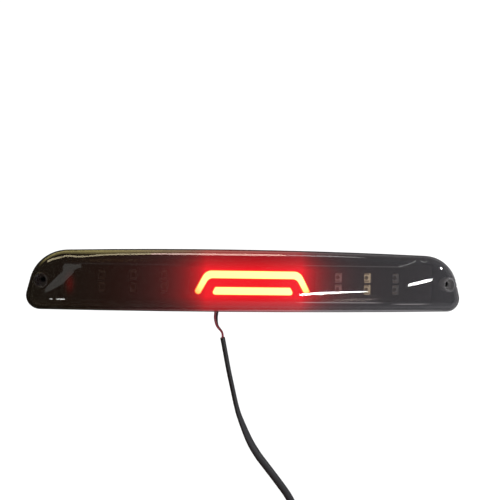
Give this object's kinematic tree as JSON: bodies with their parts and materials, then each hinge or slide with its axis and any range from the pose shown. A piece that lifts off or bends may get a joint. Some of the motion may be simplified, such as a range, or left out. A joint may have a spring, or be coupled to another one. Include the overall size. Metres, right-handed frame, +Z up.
{
  "type": "third brake light",
  "caption": "Wide, shallow high-mounted brake lamp with a smoked lens, two lit red light bars, cargo lamp cells on both sides and a hanging cable with a plug.",
  "frame": {"origin": "midway between the two mounting screw holes, on the gasket's rear face", "axes": "+X along the lamp to the right as seen from behind the vehicle, +Y into the vehicle, +Z up"},
  "size_m": [0.4212, 0.044, 0.3037],
  "materials": {
    "smoked_lens": "glossy, smoke tinted",
    "black_housing": "fine moulded texture",
    "foam_gasket": "matt closed-cell foam",
    "adhesive": "cured bead",
    "dark_bezel": "glossy",
    "lit_red_bar": "glowing light guide",
    "baffle_plastic": "satin",
    "board_laminate": "white solder mask",
    "brake_board_laminate": "green solder mask",
    "red_led": "clear red",
    "led_package": "white package",
    "phosphor": "yellow phosphor",
    "cell_frame": "satin light grey",
    "component_black": "epoxy",
    "component_metal": "satin",
    "screw_steel": "zinc plated",
    "red_insulation": "satin",
    "black_insulation": "satin",
    "sleeve_black": "satin",
    "grommet_rubber": "matt",
    "plug_plastic": "satin",
    "seal_rubber": "matt",
    "terminal_tin": "tin plated"
  },
  "bodies": {
    "lamp": {"outer_lens": "smoked_lens", "lens_seal": "adhesive", "back_housing": "black_housing", "mounting_gasket": "foam_gasket", "inner_bezel": "dark_bezel", "bezel_screws": "screw_steel", "light_bar_baffle": "baffle_plastic", "arch_light_bar": "lit_red_bar", "lower_light_bar": "lit_red_bar", "brake_board": "brake_board_laminate", "brake_leds": "red_led", "driver_regulator": "component_black", "driver_capacitors": "component_metal", "driver_resistors": "component_black", "board_link_headers": "led_package", "board_screws": "screw_steel", "left_cargo_board": "board_laminate", "right_cargo_board": "board_laminate", "left_cargo_leds": "led_package", "right_cargo_leds": "led_package", "left_cargo_phosphor": "phosphor", "right_cargo_phosphor": "phosphor", "left_cargo_cell_frame": "cell_frame", "right_cargo_cell_frame": "cell_frame", "left_link_wires": "black_insulation", "right_link_wires": "black_insulation", "cable_grommet": "grommet_rubber", "vent_cap": "grommet_rubber", "red_lead_inner": "red_insulation", "black_lead_inner": "black_insulation"},
    "wire_tail": {"red_wire_tail": "red_insulation", "black_wire_tail": "black_insulation", "sleeve_collar": "sleeve_black"},
    "sleeve_upper": {"cable_sleeve_upper": "sleeve_black", "red_wire_upper": "red_insulation", "black_wire_upper": "black_insulation"},
    "sleeve_lower": {"cable_sleeve_lower": "sleeve_black", "red_wire_lower": "red_insulation", "black_wire_lower": "black_insulation", "plug_housing": "plug_plastic", "plug_seals": "seal_rubber", "plug_terminals": "terminal_tin"},
    "latch": {"plug_latch": "plug_plastic"}
  },
  "joints": [
    {"name": "tail_fold", "type": "hinge", "parent": "lamp", "child": "wire_tail", "pos_m": [-0.0336, 0.006, -0.0197], "axis": [1, 0, 0], "range_deg": [-15, 60], "stiffness_Nm_per_rad": 0.5},
    {"name": "sleeve_bend_upper", "type": "hinge", "parent": "wire_tail", "child": "sleeve_upper", "pos_m": [-0.0265, 0.006, -0.061], "axis": [0, 1, 0], "range_deg": [-30, 30], "stiffness_Nm_per_rad": 0.6},
    {"name": "sleeve_bend_lower", "type": "hinge", "parent": "sleeve_upper", "child": "sleeve_lower", "pos_m": [-0.0078, 0.006, -0.1383], "axis": [0, 1, 0], "range_deg": [-30, 30], "stiffness_Nm_per_rad": 0.6},
    {"name": "latch_press", "type": "hinge", "parent": "sleeve_lower", "child": "latch", "pos_m": [0.052, -0.0023, -0.258], "axis": [-1, 0, 0], "range_deg": [0, 6], "stiffness_Nm_per_rad": 0.002}
  ]
}
